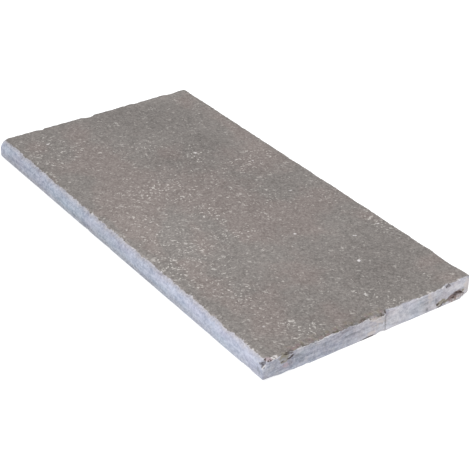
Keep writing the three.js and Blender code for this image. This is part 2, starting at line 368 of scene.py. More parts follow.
# box lattice of the stone, its lines across the right end closer together beside the crack
def stoneLattice():
    halfLength, halfWidth, spacing = stone["halfLength"], stone["halfWidth"], lattice["spacing"]
    nearEnd, nearBack, besideCrack = (lattice[key] for key in ("nearEnd", "nearBack", "besideCrack"))
    nearFoot, nearTop = lattice["nearFoot"], lattice["nearTop"]
    xLines = latticeLines(-halfLength, halfLength, nearEnd, nearEnd, spacing)
    yLines = latticeLines(-halfWidth, halfWidth, lattice["nearNose"], nearBack, spacing)
    zLines = latticeLines(0, stone["thickness"], nearFoot, nearTop, lattice["sideSpacing"])
    before = yLines < besideCrack[0] - lattice["clearOfCrack"]
    after = yLines > besideCrack[-1] + lattice["clearOfCrack"]
    yLines = np.concatenate([yLines[before], besideCrack, yLines[after]])
    return boxLattice(xLines, yLines, zLines, len(nearEnd) - 1, len(nearBack) - 1)


# the box worn to shape, its flakes pressed in, then lowered by the small relief, the layers and a
# bell-shaped groove for the crack: its points, faces and how broken each point is
def buildStone():
    box, loops, sizes = stoneLattice()
    print("stone lattice", len(box), "points", int((sizes - 2).sum()), "triangles")
    points = wornShape(box)
    broken = np.zeros(len(points))
    for flake in namedFlakes + edgeNicks:
        cutFlake(points, broken, flake)
    quads = loops[: 4 * np.count_nonzero(sizes == 4)].reshape(-1, 4)
    onBed = box[:, 2] == 0
    small = np.where(onBed, 0, smallRelief(points, box))
    points = points - pointNormals(points, quads) * small[:, None]
    fromEnd, fromSide = stone["halfLength"] - np.abs(box[:, 0]), stone["halfWidth"] - np.abs(box[:, 1])
    onEnd = fromEnd < lattice["onFace"]
    onBack = (fromSide < lattice["onFace"]) & (box[:, 1] > 0)
    points[:, 0] -= np.where(onEnd, np.sign(box[:, 0]) * beddingRelief(box, fromSide), 0)
    points[:, 1] -= np.where(onBack, beddingRelief(box, fromEnd), 0)
    groove = stone["crackDepth"] * bell(points[:, 1], crackPlace(points[:, 2]), stone["crackWidth"])
    points[:, 0] -= np.where((box[:, 0] > 0) & onEnd & ~onBed, groove, 0)
    return points, loops, sizes, broken


# mesh object from points in millimetres, its face loops one after another and each face's size
def makeMesh(name, points, loops, sizes, attributes):
    mesh = bpy.data.meshes.new(name)
    mesh.vertices.add(len(points))
    mesh.vertices.foreach_set("co", (points * millimetre).astype(np.float32).ravel())
    mesh.loops.add(len(loops))
    mesh.loops.foreach_set("vertex_index", loops.astype(np.int32))
    mesh.polygons.add(len(sizes))
    starts = np.concatenate([[0], np.cumsum(sizes)[:-1]])
    mesh.polygons.foreach_set("loop_start", starts.astype(np.int32))
    mesh.polygons.foreach_set("use_smooth", np.ones(len(sizes), dtype=bool))
    mesh.update(calc_edges=True)
    mesh.validate()
    for label, values in attributes.items():
        layer = mesh.attributes.new(label, "FLOAT", "POINT")
        layer.data.foreach_set("value", values.astype(np.float32))
    piece = bpy.data.objects.new(name, mesh)
    bpy.context.collection.objects.link(piece)
    return piece


# signed distance from the edge of the brown aged skin, positive on the skin: for each edge of the
# walking face, distance in from the side less depth below the face, and how far the skin laps over
def skinEdge(points):
    x, y, z = points.T
    drop = stone["thickness"] - z
    frontLap = -4.1 - 1.2 * ramp(-x, 60, 220) + 1.1 * ramp(x, 150, 230) + 0.9 * unevenness(x, 17, 43, 5)
    backLap = 1.0 + 0.8 * unevenness(x, 61, 37, 4)
    leftLap = 0.6 + 0.8 * unevenness(y, 83, 31, 4)
    # along the right end the skin runs on over the arris up to the crack, and is broken off past it
    lapAtCrack = (4.6 * bell(y, 5, 15) + 2.4 * bell(y, 18, 6)) * (y < 19)
    breakPastCrack = 2.6 * ramp(y, 19, 22) * (1 - ramp(y, 26, 38))
    rightLap = 0.2 + 0.9 * unevenness(y, 5, 29, 4) + lapAtCrack - breakPastCrack + 0.8 * ramp(-y, 118, 134)
    rightLap = rightLap + 0.9 * bell(y, -85, 28) + 1.2 * bell(y, 40, 9) - 1.8 * ramp(y, 97, 106)
    front = y + stone["halfWidth"] - drop + frontLap
    back = stone["halfWidth"] - y - drop + backLap
    left = x + stone["halfLength"] - drop + leftLap
    right = stone["halfLength"] - x - drop + rightLap
    return np.minimum(np.minimum(front, back), np.minimum(left, right))


# share of a point that lies on the right end rather than beside it
def onRightEnd(x):
    return ramp(x, stone["halfLength"] - 4, stone["halfLength"] - 0.6)


# an oval is its middle, half sizes, lean in degrees and strength; this is the square of the distance
# from its middle, measured in its half sizes
def ovalReach(across, up, oval):
    middle, height, halfAcross, halfUp, lean, _ = oval
    turn = math.radians(lean)
    alongIt = (across - middle) * math.cos(turn) + (up - height) * math.sin(turn)
    overIt = (up - height) * math.cos(turn) - (across - middle) * math.sin(turn)
    return (alongIt / halfAcross) ** 2 + (overIt / halfUp) ** 2


# sum of soft bell-shaped ovals
def softOvals(across, up, ovals):
    return sum((oval[-1] * np.exp(-ovalReach(across, up, oval)) for oval in ovals), np.zeros(len(across)))


# the strongest of ovals that are flatter inside and fall off faster than bells
def ovalMarks(across, up, ovals):
    total = np.zeros(len(across))
    for oval in ovals:
        total = np.maximum(total, oval[-1] * np.exp(-0.7 * ovalReach(across, up, oval) ** 1.5))
    return total


# slow changes over the bare stone of the right end, by y and z, and of the nose, by x and z
endPatches = {
    # paler, or darker where the strength is negative
    "paler": [
        (-85, 24, 32, 5, 0, -0.85), (-128, 14, 13, 5, 0, -0.7), (-66, 10, 8, 4, 0, -0.65),
        (-92, 10, 8, 4, 0, -0.9), (-114, 10, 7, 5, 0, -0.6), (-32, 15, 20, 14, 0, -0.4),
        (16, 22, 7, 4, 0, -0.7), (42, 14, 20, 5, 0, -0.2), (-28, 25, 16, 4, 0, -0.5),
        (-134, 5, 16, 4, 0, -0.3), (30, 24, 6, 4, 0, 0.3), (113, 24, 6, 4, 0, -0.4),
        (46, 3, 26, 4, 0, 0.5), (66, 23, 9, 6, 0, 0.55), (67, 4, 7, 4, 0, 0.4), (94, 26, 18, 4, 0, 0.7),
        (79, 14, 5, 8, 0, -0.75), (91, 13, 6, 5, 0, -0.4), (103, 10, 7, 4, 0, -0.3),
        (138, 17, 8, 6, 0, 0.5), (140, 8, 7, 5, 0, -0.2), (6, 8, 10, 6, 0, 0.25), (-90, 9, 9, 4, 0, -0.4),
        (-102, 21, 8, 4, 0, -0.75), (-126, 15, 7, 3, 0, -0.7), (-54, 20, 7, 4, 0, 0.35),
        (-54, 10, 6, 3, 0, 0.25), (6, 25, 6, 2, 0, 0.35), (18, 21, 4, 3, 0, -0.3),
        (132, 17, 9, 3, 0, 0.5), (126, 5, 10, 3, 0, 0.4), (-83, 24, 26, 5, 0, -0.3),
        (-84, 10, 10, 3, 0, -0.3), (28, 23, 10, 6, 0, 0.2), (21.5, 26, 2.8, 3, 0, -1.0),
    ],
    # pinker, or more cyan where the strength is negative
    "rosy": [
        (-80, 27, 70, 5, 0, 0.9), (-126, 15, 10, 6, 0, 1.0), (-120, 10.5, 6, 4.5, 0, 1.0),
        (-30, 17, 30, 12, 0, 0.45), (-8, 13, 18, 10, 0, 0.3), (30, 22, 8, 5, 0, 0.6),
        (86, 24, 10, 6, 0, 0.4), (103, 12, 10, 6, 0, 0.5), (54, 25, 8, 4, 0, 0.5),
        (126, 23, 12, 6, 0, 0.8), (-100, 20, 12, 5, 0, -0.2), (-78, 20, 10, 5, 0, -0.3),
    ],
}
nosePatches = {
    "paler": [
        (-262, 10, 17, 6, 0, -0.6), (-240, 6, 40, 4, 0, -0.25), (-70, 9, 60, 5, 0, -0.28),
        (30, 6, 60, 4, 0, -0.3), (-60, 4, 15, 3, 0, -0.4), (170, 8, 30, 3, 0, -0.3),
        (115, 14, 30, 6, 0, 0.22), (140, 17, 15, 4, 0, 0.2), (75, 4, 20, 3, 0, -0.5),
        (-50, 4, 14, 3, 0, -0.4), (60, 9, 12, 3, 0, 0.3), (-120, 12, 12, 4, 0, 0.3),
        (-280, 16, 6, 4, 0, 0.35), (260, 8, 12, 3, 0, -0.3), (140, 8, 12, 3, 0, -0.3),
        (-220, 4, 12, 3, 0, -0.3), (40, 12, 10, 3, 0, 0.2), (-160, 8, 10, 3, 0, -0.2),
        (-250, 18, 40, 8, 0, -0.12), (165, 17, 30, 5, 0, 0.25), (200, 20, 10, 4, 0, 0.25),
        (-264, 9, 12, 4, 0, -0.25), (284, 20, 6, 4, 0, -0.25), (-30, 12, 40, 6, 0, -0.12),
    ],
    "rosy": [
        (-120, 10, 30, 8, 0, -0.85), (-160, 16, 15, 8, 0, -0.3), (-10, 8, 70, 7, 0, -0.4),
        (98, 18, 24, 7, 0, 0.2), (150, 11, 25, 8, 0, -0.35), (230, 10, 22, 8, 0, -0.25),
        (272, 15, 20, 12, 0, 0.2), (-185, 18, 14, 8, 0, 0.1), (-85, 15, 14, 7, 0, -0.25),
        (-282, 19, 10, 6, 0, -0.2), (-245, 15, 26, 8, 0, 0.4), (15, 20, 24, 5, 0, 0.35),
        (162, 19, 20, 5, 0, 0.35), (222, 18, 14, 6, 0, 0.5), (100, 11, 20, 6, 0, -0.35),
        (-65, 10, 12, 8, 0, 0.35),
    ],
}


# the value for the right end where a point is on it, and the one for the nose elsewhere; the back
# has a plain value of its own if it is given
def overBareStone(points, ofNose, ofEnd, ofBack=None):
    x, y, _ = points.T
    share = onRightEnd(x)
    value = ofNose * (1 - share) + ofEnd * share
    return value if ofBack is None else np.where(y > stone["halfWidth"] - 8, ofBack, value)


# how pale the bare stone is, from about 0 to 1: the nose pales upward, painted light from its rounded
# profile, and towards its right end, the right end from its front corner to the crack, and the back lies
# between
def palenessAndPaintedLight(points):
    x, y, z = points.T
    # the rise with height on the nose is painted light, paler above and darker below as its round turns
    ofNose = 0.06 + 0.1 * ramp(x, -200, -60) + 0.42 * ramp(x, -60, 260) + 0.22 * ramp(z, 7, 23)
    ofEnd = 0.24 + 0.44 * ramp(y, -62, 34) - 0.12 * ramp(y, 52, 90)
    # the last term pales the foot of the right end from about its middle back: painted bounce light from
    # the floor
    ofEnd = ofEnd + 0.25 * ramp(y, 82, 118) * ramp(z, 9, 20) + 0.16 * ramp(y, -40, 0) * ramp(-z, -12, -3)
    ofNose = ofNose + softOvals(x, z, nosePatches["paler"])
    ofEnd = ofEnd + softOvals(y, z, endPatches["paler"])
    return overBareStone(points, ofNose, ofEnd, 0.35)


# how far the bare stone turns from blue to a neutral grey, from 0 to 1: most on the right end past
# its front third, half on the back, and up to half along the foot of the nose
def neutrality(points):
    x, y, z = points.T
    ofNose = 0.5 * bell(z, 5.5, 3.5) * (1 - 0.5 * ramp(x, -50, 250))
    frontThird = 0.1 + 0.4 * ramp(z, 9, 25)
    ofEnd = frontThird + (0.9 - frontThird) * ramp(y, -75, 10) - 0.3 * bell(y, 55, 20)
    return overBareStone(points, ofNose, ofEnd, 0.5)


# how pink the bare stone is, or how cyan where negative
def rosiness(points):
    x, y, z = points.T
    ofNose = softOvals(x, z, nosePatches["rosy"]) - 0.1
    return overBareStone(points, ofNose, softOvals(y, z, endPatches["rosy"]))


# how far the skin is worn thin, from 0 to 1: from the middle of the nose on towards the right end
def wornThin(points):
    x = points[:, 0]
    return ramp(x, -170, -30) * (1 - onRightEnd(x))


# painted shade along the foot of the stone, where its round turns down from the light, from 0 to 1: less
# towards the right, and none on the right end
def paintedFootShade(points):
    x, _, z = points.T
    return bell(z, 5.5, 3.6) * (1 - 0.7 * ramp(x, -60, 260)) * (1 - onRightEnd(x))


# grime inside the edge of the skin, along the crumbled part of the right arris
def grime(points):
    x, y, _ = points.T
    fromEnd = stone["halfLength"] - x
    return ramp(-fromEnd, -14, -5) * ramp(y, -125, -112) * ramp(-y, -22, -12)


# slow changes over the walking face, by x and y
facePatches = {
    # paler where it is trodden, darker where the strength is negative
    "trodden": [
        (45, -100, 75, 48, 0, 1.0), (-18, -122, 24, 22, 0, 0.35), (10, -48, 28, 24, 0, 0.5),
        (132, -28, 34, 32, 0, 0.75), (-60, -95, 60, 50, 0, 0.25), (-97, 130, 32, 24, 0, 0.55),
        (125, 75, 30, 36, 0, 0.45), (-10, 128, 50, 24, 0, 0.3), (230, -128, 60, 20, 0, 0.35),
        (265, 130, 40, 25, 0, 0.35), (-295, 105, 12, 45, 0, 1.3), (-298, -25, 10, 18, 0, 0.8),
        (-140, 82, 32, 18, 0, -0.8), (-122, 22, 34, 40, 0, -0.85), (-235, 62, 62, 40, 0, -0.7),
        (-275, 10, 30, 45, 0, -0.6), (232, 52, 34, 34, 0, -0.85), (-20, 68, 75, 50, 0, -0.45),
        (195, 110, 40, 25, 0, -0.3), (285, -20, 24, 34, 0, -0.5), (-250, -110, 50, 40, 0, -0.2),
        (190, -70, 26, 26, 0, -0.2), (-200, 134, 75, 18, 0, 0.55), (-182, 28, 16, 22, 0, 0.4),
        (297, 8, 9, 14, 0, 0.6), (292, 134, 12, 14, 0, 0.45), (-198, -143, 20, 5, 0, -0.8),
        (-86, -142, 8, 4, 0, -0.5),
    ],
    # plum, or greenish where the strength is negative
    "plum": [
        (-140, -62, 120, 30, 0, 1.3), (-10, 10, 105, 48, 8, 1.3), (-60, -100, 75, 38, 0, 1.2),
        (-68, 112, 48, 42, 0, 1.2), (62, 95, 30, 62, 0, 1.2), (105, 58, 24, 20, -20, 1.1),
        (80, 0, 28, 40, 0, 1.1), (-160, 138, 60, 14, 0, 1.1), (-262, 128, 24, 16, -30, 1.1),
        (-148, 22, 18, 16, 0, 0.9), (188, -14, 26, 32, 10, 1.1), (272, -30, 22, 18, 0, 1.1),
        (130, -115, 85, 17, 0, 1.2), (230, -92, 60, 24, -25, 1.1), (75, -75, 28, 12, -20, 0.9),
        (-180, -112, 26, 32, 0, 1.0), (-252, -118, 28, 18, 20, 1.0), (-262, -52, 22, 18, 0, 0.8),
        (130, 136, 20, 14, 0, 1.0), (248, 130, 14, 26, 0, 1.0), (0, -125, 50, 18, 0, 0.9),
        (38, -90, 62, 14, -32, -1.4), (-135, -126, 32, 18, -20, -1.2), (-228, -98, 26, 12, -15, -1.0),
        (18, 84, 30, 14, -10, -1.2), (90, 30, 10, 8, 0, -0.8), (62, -36, 24, 10, 0, -0.8),
        (286, 122, 16, 20, 0, 0.9), (0, -143, 400, 8, 0, -0.4), (-198, -143, 20, 5, 0, -1.6),
        (-86, -140, 10, 6, 0, -1.2), (-32, -142, 14, 5, 0, -1.5), (196, -134, 10, 6, 0, -1.4),
        (222, -140, 18, 5, 0, -0.8), (-165, -142, 14, 5, 0, 0.9), (-60, -138, 10, 6, 0, 0.9),
    ],
    # thick with shell
    "shelly": [
        (-125, 50, 20, 16, 0, 0.9), (-175, 0, 20, 24, 0, 0.45), (-66, 105, 26, 34, 0, 0.45),
        (60, 122, 22, 34, 0, 0.5), (148, 142, 30, 18, 0, 0.7), (17, -22, 22, 16, 0, 0.75),
        (-68, -48, 30, 30, 0, 0.6), (-45, 10, 60, 60, 0, 0.3), (85, -12, 30, 16, 35, 0.45),
        (275, 30, 32, 12, 30, 0.7), (285, -76, 26, 22, 0, 0.5), (95, -130, 28, 14, 0, 0.6),
        (-255, -102, 30, 18, 0, 0.6), (-222, -78, 22, 30, 0, 0.45), (-215, -126, 36, 18, 0, 0.6),
        (130, -100, 110, 34, 0, 0.4), (-200, 85, 36, 18, 0, 0.15), (30, 50, 40, 30, 0, 0.2),
        (0, -115, 60, 30, 0, 0.35), (20, -60, 150, 60, 0, 0.12),
    ],
}

# marks on the right end, by y and z
endMarks = {
    "rust": [
        (126, 7.6, 12.5, 4.4, 20, 1.0), (132.5, 9.4, 5.5, 3.6, -10, 0.9), (136, 5.4, 8, 3.4, 15, 0.5),
        (127, 2.6, 12, 2.2, 12, 0.58), (20, 21, 2, 4, 0, 0.4), (14, 12.4, 3, 0.7, -20, 0.7),
    ],
    "warm": [
        (11, 16.2, 7, 1.8, -15, 0.9), (6, 21.5, 12, 3, -12, 0.8), (4, 10, 14, 6, 0, 0.4),
        (-1, 5, 7, 3, 0, 0.8), (89, 15, 6, 6, 20, 0.42), (84.5, 23, 2.6, 6, 15, 0.72),
        (143.5, 14, 5.5, 13, 0, 0.66), (92, 4.5, 6, 3, 0, 0.4), (128, 3.6, 13, 2.6, 12, 0.75),
        (137, 7.5, 8, 4, 0, 0.6),
    ],
    "pink": [(-120.5, 11.2, 4.4, 3.4, -20, 0.8)],
    "olive": [
        (-122.5, 22.6, 6.6, 3.6, 0, 1.1), (-123, 18.2, 5.2, 3.2, 0, 1.05), (104, 6, 7, 3.6, 12, 1.0),
        (113, 4.2, 3.5, 1.8, 20, 1.0), (138.2, 11.2, 1.7, 1.9, 0, 0.9), (127, 2.4, 6, 1.1, 12, 0.6),
        (19.6, 11, 1.6, 9, 3, 0.42),
    ],
    "grey": [
        (-27, 14.5, 13, 1.6, -2, 0.9), (-66, 16, 9, 5, 0, 0.5), (6, 13.0, 11, 1.0, 3, 0.6),
        (-15, 9, 5, 3, 0, 0.5), (19.6, 10, 1.5, 12, 2, 0.75), (-104, 14, 9, 6, -35, 0.6),
        # the marks at y -88 and -28 along the top are painted shade, holding down the light that the
        # upturned round there catches
        (-88, 25.0, 26, 2.2, 0, 0.5), (-28, 25.5, 14, 1.6, 0, 0.42), (82.3, 5.5, 1.8, 3.5, 0, 1.3),
        (96, 9, 4, 6, 0, 0.5), (58, 8, 9, 2, 4, 0.45), (-134, 15.4, 6, 0.6, -18, 0.6),
        (-115, 12.5, 2.6, 3, 0, 0.7), (146.3, 17, 0.8, 7, 5, 0.8), (22.4, 26.6, 2.4, 1.5, 0, 0.8),
    ],
    "dark": [
        # the first two rows darken the hollow near the back of the foot: partly its dark stain, partly
        # painted shade under its upper wall
        (130.2, 7.6, 3.2, 1.9, 0, 1.1), (135.6, 8.5, 2.1, 1.6, 0, 1.1), (139.3, 6.7, 1.8, 1.1, 0, 1.0),
        (125.5, 9.2, 3.2, 1.2, 15, 0.7), (118.6, 7.2, 3.2, 0.9, 35, 0.85), (125, 4.8, 3.2, 0.8, 10, 0.85),
        (107.2, 5.2, 2.4, 1.0, 25, 0.9), (98.8, 5.4, 2.2, 1.7, 30, 0.85), (103, 1.8, 6, 0.9, 10, 0.8),
        (111.4, 25.2, 1.8, 1.5, 0, 1.25), (114.6, 25.6, 2.3, 1.7, -10, 1.25),
        (-119.8, 25.7, 4.2, 0.9, 3, 0.9), (-113.8, 25.4, 3.0, 1.7, -10, 1.3),
        (-112.4, 20.2, 2.1, 1.8, 0, 1.0), (-115.6, 18.4, 2.9, 1.5, 12, 0.95),
        (-125.4, 17.8, 2.4, 1.3, 0, 0.8), (-140.7, 25.0, 1.2, 1.1, 0, 0.75),
        (-149.4, 19.2, 1.0, 1.0, 0, 0.9), (14, 23.6, 4, 1.1, -12, 0.58), (18.4, 25, 1.3, 2.0, 0, 0.5),
        # the mark at y -6 is a painted shadow along the foot, where the stone meets the floor
        (-6, 1.4, 10, 1.0, 2, 0.9), (82.3, 4.6, 1.2, 2.6, 0, 0.6),
    ],
    "shell": [
        (-136.8, 25.9, 1.8, 0.8, -30, 0.9), (-149, 22.4, 2.6, 0.7, 60, 0.9),
        (102.2, 4.2, 1.4, 0.8, 0, 0.7),
    ],
    "pale": [
        (-115.4, 15.4, 3, 0.8, -25, 0.75), (-129.2, 23.2, 1.0, 2.4, 0, 0.7), (-102, 26.4, 6, 1.1, 0, 0.6),
        (124, 20.5, 14, 4, 0, 0.6), (133, 17.5, 8, 2.2, -8, 0.8), (129, 5.2, 3, 0.8, 20, 0.55),
        (38, 14, 18, 11, 0, 0.5), (123, 4.6, 3, 0.9, 20, 0.7), (135.5, 13.0, 4.5, 1.4, -5, 0.6),
        (105.5, 26.6, 3.4, 1.6, 0, 0.8), (90, 7, 6, 4, 0, 0.6), (93, 22, 5, 4, 0, 0.45),
        (142, 22, 5, 5, 0, 0.5),
    ],
}
# on the nose, by x and z
noseMarks = {
    # dark in the pit at the spalled front corner: partly its own sooty colour, partly painted shade
    "dark": [(294.6, 19.6, 4.6, 3.0, 20, 0.95), (296.6, 24.2, 3.2, 2.6, 50, 0.75)],
    "shell": [(298.3, 20.6, 3.6, 0.8, 62, 0.9), (296.4, 16.2, 1.7, 0.8, 10, 0.8)],
    "grey": [(291, 11, 3, 6, 30, 0.6)],
    "pale": [(286, 19, 5, 3, 0, 0.4)],
}
# on the walking face, by x and y: the largest bits of shell, and the crushed front corner
faceMarks = {
    "shell": [
        (202, 62, 3.2, 1.7, 143, 0.75), (-126, 52, 2.4, 2, 30, 0.8), (113, 36, 1.8, 1.6, 0, 0.8),
        (150, 136, 2.4, 1.4, 70, 0.9), (-253, -102, 1.8, 2.2, 0, 0.8), (262, 23, 3.6, 1.3, 50, 0.7),
        (-121, -8, 1.7, 1.9, 0, 0.8), (-66, 103, 2.6, 1.4, 20, 0.8), (26, 96, 1.6, 2, 0, 0.7),
        (156, 94, 3.2, 1.2, 60, 0.75), (247, -111, 2, 1.4, 0, 0.7), (159, -115, 1.4, 2, 20, 0.7),
        (178, -143.6, 1.3, 1.0, 0, 0.8), (185.6, -144.6, 1.5, 1.0, 0, 0.7),
        (297.4, -133.4, 2.3, 1.8, 20, 1.1), (299.4, 113.2, 1.0, 1.4, 0, 0.7),
    ],
    "pink": [(294.8, -142.8, 2.8, 3.4, 20, 0.8), (297.4, -141.0, 3.0, 2.8, 30, 0.75)],
    "dark": [
        (293.6, -144.2, 1.2, 1.6, 30, 0.9), (298.2, -143.2, 1.1, 1.0, 0, 0.85),
        (298.4, -132.8, 0.9, 0.8, 0, 0.8), (293.2, -142.4, 0.8, 0.7, 0, 0.7),
        (299.3, -118.6, 1.1, 3.0, 0, 0.95), (298.6, 114.4, 1.6, 1.8, 0, 1.1),
        (297.2, 107.4, 1.2, 1.2, 0, 0.8),
    ],
}


# every face's marks of one kind, each kept to its own face
def marks(points, kind):
    x, y, z = points.T
    fromEnd, fromNose = stone["halfLength"] - x, stone["halfWidth"] + y
    onTop = ramp(z, stone["thickness"] - 0.5, stone["thickness"])
    onEnd = ramp(-fromEnd, -6, -3) * (1 - onTop * ramp(fromEnd, 0.5, 2))
    onNose = ramp(-fromNose, -12, -8) * ramp(fromEnd - fromNose, -2.5, -1)
    onFace = ramp(z, stone["thickness"] - 4, stone["thickness"] - 2)
    ofEnd = onEnd * ovalMarks(y, z, endMarks.get(kind, []))
    ofNose = onNose * ovalMarks(x, z, noseMarks.get(kind, []))
    ofFace = onFace * ovalMarks(x, y, faceMarks.get(kind, []))
    return np.maximum(np.maximum(ofEnd, ofNose), ofFace)


# kinds of mark, from the first laid to the last: colour, strength and the share of it that is left
# where its mottling is thinnest
markKinds = {
    "grey": ("7b7d83", 0.55, 0.4),
    "pale": ("e4e2e6", 0.70, 0.4),
    "warm": ("d3cac6", 0.75, 0.5),
    "pink": ("bdabb1", 0.80, 0.6),
    "rust": ("85706a", 0.90, 0.65),
    "olive": ("8c846f", 0.85, 0.5),
    "dark": ("3f3430", 0.95, 0.5),
    "shell": ("f6f2f2", 0.85, 0.55),
}


points, loops, sizes, broken = buildStone()
attributes = {
    "skinEdge": skinEdge(points) - 1.6 * broken,
    "broken": broken,
    "palenessAndPaintedLight": palenessAndPaintedLight(points),
    "neutrality": neutrality(points),
    "rosiness": rosiness(points),
    "wornThin": wornThin(points),
    "paintedFootShade": paintedFootShade(points),
    "grime": grime(points),
    "endShare": onRightEnd(points[:, 0]),
}
attributes.update({kind: softOvals(*points[:, :2].T, ovals) for kind, ovals in facePatches.items()})
attributes.update({kind: marks(points, kind) for kind in markKinds})
copingStone = makeMesh("stone_slab", points, loops, sizes, attributes)
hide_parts("coping_stone")
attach(copingStone, "root")
print("stone built")

# share of a display colour that the surface itself has under this light
exposure = 0.66

# display colours of the layers of the finish; a pair is blended between
colours = {
    # walking face: its greenish and its plum parts, where they are darkest and where palest
    "faceDarkest": ("6f6966", "796b68"),
    "facePalest": ("98928e", "a2948f"),
    "faceMottle": ("67635f", "a39d99"),
    "faceGrain": ("504c49", "b0aaa6"),
    "speck": "474340",
    "fleck": "ebe6e0",
    # nose and ends: the cyan and the pink side of the blue stone, and of the neutral stone
    "blueDarkest": ("678097", "7d7897"),
    "bluePalest": ("bed5f0", "d5d0f0"),
    "neutralDarkest": ("7d7f86", "8c7b83"),
    "neutralPalest": ("d7d9dc", "e4d5db"),
    "warmPatch": "cfc5c2",
    "coolPatch": "9da5b9",
    "streaks": ("7c7f88", "dcdde4"),
    # the colour of the painted shade along the foot
    "footShade": "7d7b7d",
    "freckles": ("62656f", "eef0f7"),
    # along the edge of the skin, and where stone has broken off
    "thinSkin": "b9b1b0",
    "grime": ("968b72", "94787c"),
    "darkEdge": "57524a",
    # the pale rim is worn stone with a painted highlight along the arris
    "rimWearAndHighlight": "ecebee",
    "crumb": "eeebe8",
    "fresh": "bcbac2",
}
# how strongly each layer shows where its masks are 1
strengths = {
    "faceMottle": 0.16,
    "faceGrain": 0.4,
    "speck": 0.5,
    "fleck": 1.0,
    "warmPatch": 0.3,
    "coolPatch": 0.35,
    "streaks": 0.18,
    "streaksMoreOnEnd": 0.12,  # added to them on the right end
    "footShade": 0.4,
    "freckles": 0.43,
    "thinSkin": 0.6,
    "grime": 0.5,
    "darkEdge": 1.0,
    "rimWearAndHighlight": 0.75,
    "rimWearAndHighlightLessOffEnd": 0.6,  # share of that strength that is lost away from the right end
    "crumb": 0.6,
    "fresh": 0.3,
}


# display colour as six hex digits to the linear light that the surface itself has
def shade(hexDigits):
    values = [int(hexDigits[n:n + 2], 16) / 255 for n in (0, 2, 4)]
    linear = [v / 12.92 if v <= 0.04045 else ((v + 0.055) / 1.055) ** 2.4 for v in values]
    return tuple(v * exposure for v in linear) + (1.0,)


# small wrapper round a node tree, so that a finish reads as a list of steps
class Finish:
    def __init__(self, name):
        self.material = bpy.data.materials.new(name)
        self.material.use_nodes = True
        self.tree = self.material.node_tree
        self.tree.nodes.clear()
        self.place = self.node("ShaderNodeTexCoord").outputs["Object"]

    def node(self, kind, **settings):
        made = self.tree.nodes.new(kind)
        for key, value in settings.items():
            setattr(made, key, value)
        return made

    def put(self, socket, value):
        if isinstance(value, bpy.types.NodeSocket):
            self.tree.links.new(value, socket)
        else:
            socket.default_value = value

    def attribute(self, name):
        return self.node("ShaderNodeAttribute", attribute_name=name).outputs["Fac"]

    def math(self, operation, *values):
        made = self.node("ShaderNodeMath", operation=operation)
        for socket, value in zip(made.inputs, values):
            self.put(socket, value)
        return made.outputs[0]

    def plus(self, first, second):
        return self.math("ADD", first, second)

    def times(self, *factors):
        product = factors[0]
        for factor in factors[1:]:
            product = self.math("MULTIPLY", product, factor)
        return product

    # value times factor, plus an offset
    def scaled(self, value, factor, offset):
        return self.math("MULTIPLY_ADD", value, factor, offset)

    def larger(self, first, second):
        return self.math("MAXIMUM", first, second)

    # 0 below low, 1 above high, smooth between; or from outLow to outHigh
    def step(self, value, low, high, outLow=0.0, outHigh=1.0):
        made = self.node("ShaderNodeMapRange", interpolation_type="SMOOTHSTEP")
        for socket, part in zip(made.inputs, (value, low, high, outLow, outHigh)):
            self.put(socket, part)
        return made.outputs[0]

    # 1 below low, 0 above high
    def fall(self, value, low, high):
        return self.step(value, low, high, 1.0, 0.0)

    # the place seen from axes turned about Z and shifted, so that one pattern never meets itself, and
    # stretched along them by these factors
    def stretched(self, factors, turn=0.0, shift=0.0):
        made = self.node("ShaderNodeMapping", vector_type="TEXTURE")
        self.put(made.inputs["Vector"], self.place)
        made.inputs["Location"].default_value = (0.37 * shift, 0.53 * shift, 0.71 * shift)
        made.inputs["Scale"].default_value = factors
        made.inputs["Rotation"].default_value = (0, 0, turn)
        return made.outputs[0]

    # features about this many millimetres across
    def noise(self, size, detail=3.0, rough=0.55, source=None, seed=0.0, output="Fac"):
        made = self.node("ShaderNodeTexNoise", noise_dimensions="4D")
        self.put(made.inputs["Vector"], self.place if source is None else source)
        self.put(made.inputs["Scale"], 1 / (size * millimetre))
        self.put(made.inputs["W"], seed)
        self.put(made.inputs["Detail"], detail)
        self.put(made.inputs["Roughness"], rough)
        return made.outputs[output]

    # a noise about 0 with most of it between -reach and reach
    def sway(self, size, reach, **settings):
        return self.scaled(self.noise(size, **settings), 5 * reach, -2.5 * reach)

    # places where a noise is above low, fully so above high
    def blotches(self, low, high, size, detail=3, rough=0.6, **settings):
        return self.step(self.noise(size, detail, rough, **settings), low, high)

    def mix(self, factor, first, second):
        made = self.node("ShaderNodeMix", data_type="RGBA", blend_type="MIX")
        self.put(made.inputs["Factor"], factor)
        self.put(made.inputs["A"], first)
        self.put(made.inputs["B"], second)
        return made.outputs["Result"]

    # from the first to the second colour of a pair
    def between(self, share, pair):
        return self.mix(share, *(shade(colour) for colour in colours[pair]))

    # one colour laid over what is there, where all its masks are high
    def lay(self, under, name, *masks):
        return self.mix(self.times(*masks, strengths[name]), under, shade(colours[name]))

    # the same with a blend between a pair of colours
    def layBlend(self, under, pair, share, *masks):
        return self.mix(self.times(*masks, strengths[pair]), under, self.between(share, pair))


# pale fossil flecks: cell size in millimetres, share of the cells that hold one, radius as a share
# of the cell, stretch along the fleck and its turn
fleckLayers = [
    {"cell": 21.0, "share": 0.35, "radius": 0.10, "stretch": 1.7, "turn": 1.0, "strength": 0.76},
    {"cell": 5.6, "share": 0.45, "radius": 0.21, "stretch": 2.2, "turn": 0.7, "strength": 0.7},
    {"cell": 3.4, "share": 0.5, "radius": 0.30, "stretch": 1.4, "turn": 1.2, "strength": 0.54},
]


